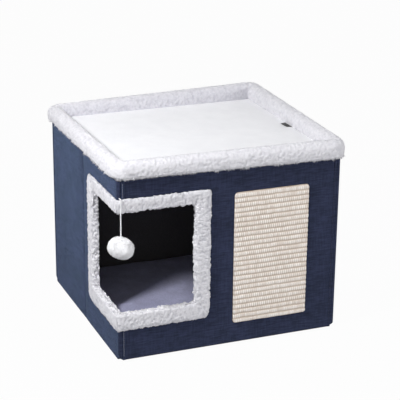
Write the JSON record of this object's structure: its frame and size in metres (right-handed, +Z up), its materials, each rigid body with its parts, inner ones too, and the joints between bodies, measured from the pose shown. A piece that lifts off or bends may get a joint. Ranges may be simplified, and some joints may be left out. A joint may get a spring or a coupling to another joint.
{
  "type": "cat condo",
  "caption": "Folding fabric-covered cat cube with a plush-edged entrance through one corner, a lift-off tray lid with a fleece rim, a woven scratch pad and a hanging pom-pom.",
  "frame": {"origin": "on the floor, under the middle of the walls and of the lid", "axes": "+X right along the front wall that carries the scratch pad, +Y to the back, +Z up; the entrance is through the corner at -X -Y"},
  "size_m": [0.451, 0.4318, 0.366],
  "materials": {
    "board": "raw fibre board",
    "navy_linen": "matt linen weave",
    "black_lining": "matt non-woven",
    "white_fleece": "curly fleece",
    "white_mat": "short plush",
    "floor_plush": "short plush",
    "sisal": "woven fibre",
    "strip_board": "plain",
    "tab_ribbon": "ribbon",
    "white_yarn": "yarn"
  },
  "bodies": {
    "base": {"base_board": "board", "floor_cushion": "floor_plush"},
    "back_wall": {"back_board": "board", "back_cover": "navy_linen", "back_lining": "black_lining", "back_left_corner": "navy_linen", "back_right_corner": "navy_linen"},
    "left_rear_half": {"left_rear_board": "board", "left_rear_cover": "navy_linen", "left_rear_lining": "black_lining"},
    "left_front_half": {"left_front_board": "board", "left_front_cover": "navy_linen", "left_front_lining": "black_lining", "side_trim": "white_fleece"},
    "front_wall": {"front_board": "board", "front_cover": "navy_linen", "front_lining": "black_lining", "front_left_corner": "navy_linen", "front_right_corner": "navy_linen", "front_trim": "white_fleece", "scratch_pad": "sisal", "toy_knot": "white_yarn"},
    "right_rear_half": {"right_rear_board": "board", "right_rear_cover": "navy_linen", "right_rear_lining": "black_lining"},
    "right_front_half": {"right_front_board": "board", "right_front_cover": "navy_linen", "right_front_lining": "black_lining"},
    "lid": {"lid_board": "board", "lid_lining": "black_lining", "rim_core_front": "strip_board", "rim_core_back": "strip_board", "rim_core_left": "strip_board", "rim_core_right": "strip_board", "rim_plush": "white_fleece"},
    "mat": {"tray_mat": "white_mat", "pull_tab": "tab_ribbon"},
    "toy_link": {"toy_cord_upper": "white_yarn"},
    "toy": {"toy_cord_lower": "white_yarn", "pompom": "white_yarn"}
  },
  "joints": [
    {"name": "sleeve_lift", "type": "slide", "parent": "base", "child": "back_wall", "axis": [0, 0, 1], "range_m": [0, 0.45]},
    {"name": "left_rear_fold", "type": "hinge", "parent": "back_wall", "child": "left_rear_half", "pos_m": [-0.202, 0.187, 0.167], "axis": [0, 0, 1], "range_deg": [0, 82]},
    {"name": "left_crease_fold", "type": "hinge", "parent": "left_rear_half", "child": "left_front_half", "pos_m": [-0.2103, 0, 0.167], "axis": [0, 0, 1], "range_deg": [-164, 0]},
    {"name": "front_fold", "type": "hinge", "parent": "left_front_half", "child": "front_wall", "pos_m": [-0.202, -0.187, 0.167], "axis": [0, 0, 1], "range_deg": [0, 82]},
    {"name": "right_rear_fold", "type": "hinge", "parent": "back_wall", "child": "right_rear_half", "pos_m": [0.202, 0.187, 0.167], "axis": [0, 0, 1], "range_deg": [-82, 0]},
    {"name": "right_crease_fold", "type": "hinge", "parent": "right_rear_half", "child": "right_front_half", "pos_m": [0.2103, 0, 0.167], "axis": [0, 0, 1], "range_deg": [0, 164]},
    {"name": "lid_lift", "type": "slide", "parent": "back_wall", "child": "lid", "axis": [0, 0, 1], "range_m": [0, 0.25]},
    {"name": "mat_lift", "type": "slide", "parent": "lid", "child": "mat", "axis": [0, 0, 1], "range_m": [0, 0.08]},
    {"name": "toy_swing_across", "type": "hinge", "parent": "front_wall", "child": "toy_link", "pos_m": [-0.2065, -0.2023, 0.3026], "axis": [0, 1, 0], "range_deg": [-35, 35]},
    {"name": "toy_swing_inward", "type": "hinge", "parent": "toy_link", "child": "toy", "pos_m": [-0.2065, -0.2023, 0.27], "axis": [1, 0, 0], "range_deg": [-60, 40]}
  ],
  "couplings": [
    {"joint": "left_rear_fold", "follows": "sleeve_lift", "rad_per_m": 3.18},
    {"joint": "left_crease_fold", "follows": "sleeve_lift", "rad_per_m": -6.36},
    {"joint": "front_fold", "follows": "sleeve_lift", "rad_per_m": 3.18},
    {"joint": "right_rear_fold", "follows": "sleeve_lift", "rad_per_m": -3.18},
    {"joint": "right_crease_fold", "follows": "sleeve_lift", "rad_per_m": 6.36}
  ]
}
